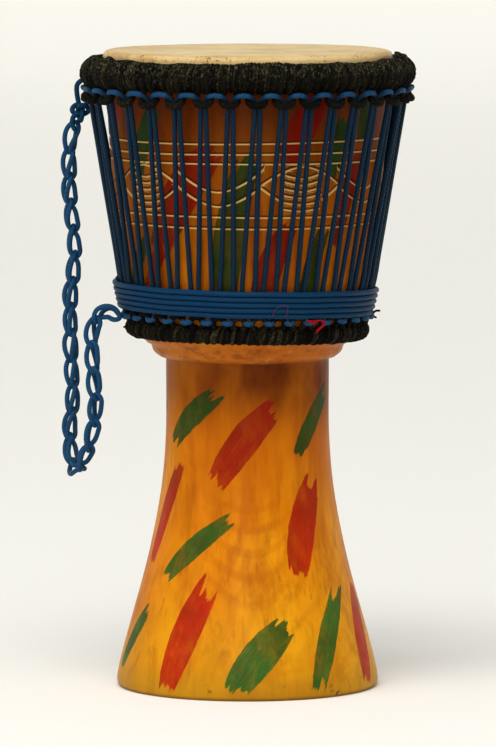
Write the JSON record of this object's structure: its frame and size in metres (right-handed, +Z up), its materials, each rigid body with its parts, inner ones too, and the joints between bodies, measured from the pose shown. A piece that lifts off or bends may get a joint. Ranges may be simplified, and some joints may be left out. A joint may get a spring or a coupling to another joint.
{
  "type": "djembe",
  "caption": "Goblet hand drum: carved painted wooden shell, goat skin on steel hoops, black cord bindings, blue rope lacing and a crocheted rope strap.",
  "frame": {"origin": "centre of the foot, on the surface the drum stands on", "axes": "+Z up the drum's axis to the playing face, -Y towards the front, +X to the right seen from the front, strap on the -X side"},
  "size_m": [0.2772, 0.262, 0.5],
  "materials": {
    "carved_wood": "satin varnish over amber wood with hand-painted red and green strokes",
    "goat_skin": "matte rawhide",
    "hoop_steel": "plain drawn bar",
    "black_cord": "matte twisted cord",
    "blue_rope": "braided nylon with a soft sheen"
  },
  "bodies": {
    "root": {"shell": "carved_wood", "drum_skin": "goat_skin", "flesh_hoop": "hoop_steel", "crown_hoop": "hoop_steel", "crown_binding": "black_cord", "crown_loops": "black_cord", "waist_hoop": "hoop_steel", "waist_binding": "black_cord", "waist_loops": "black_cord", "lacing_rope": "blue_rope", "waist_wrap": "blue_rope", "strap_bight": "blue_rope", "strap_knot": "blue_rope", "strap_chain": "blue_rope"}
  },
  "joints": []
}
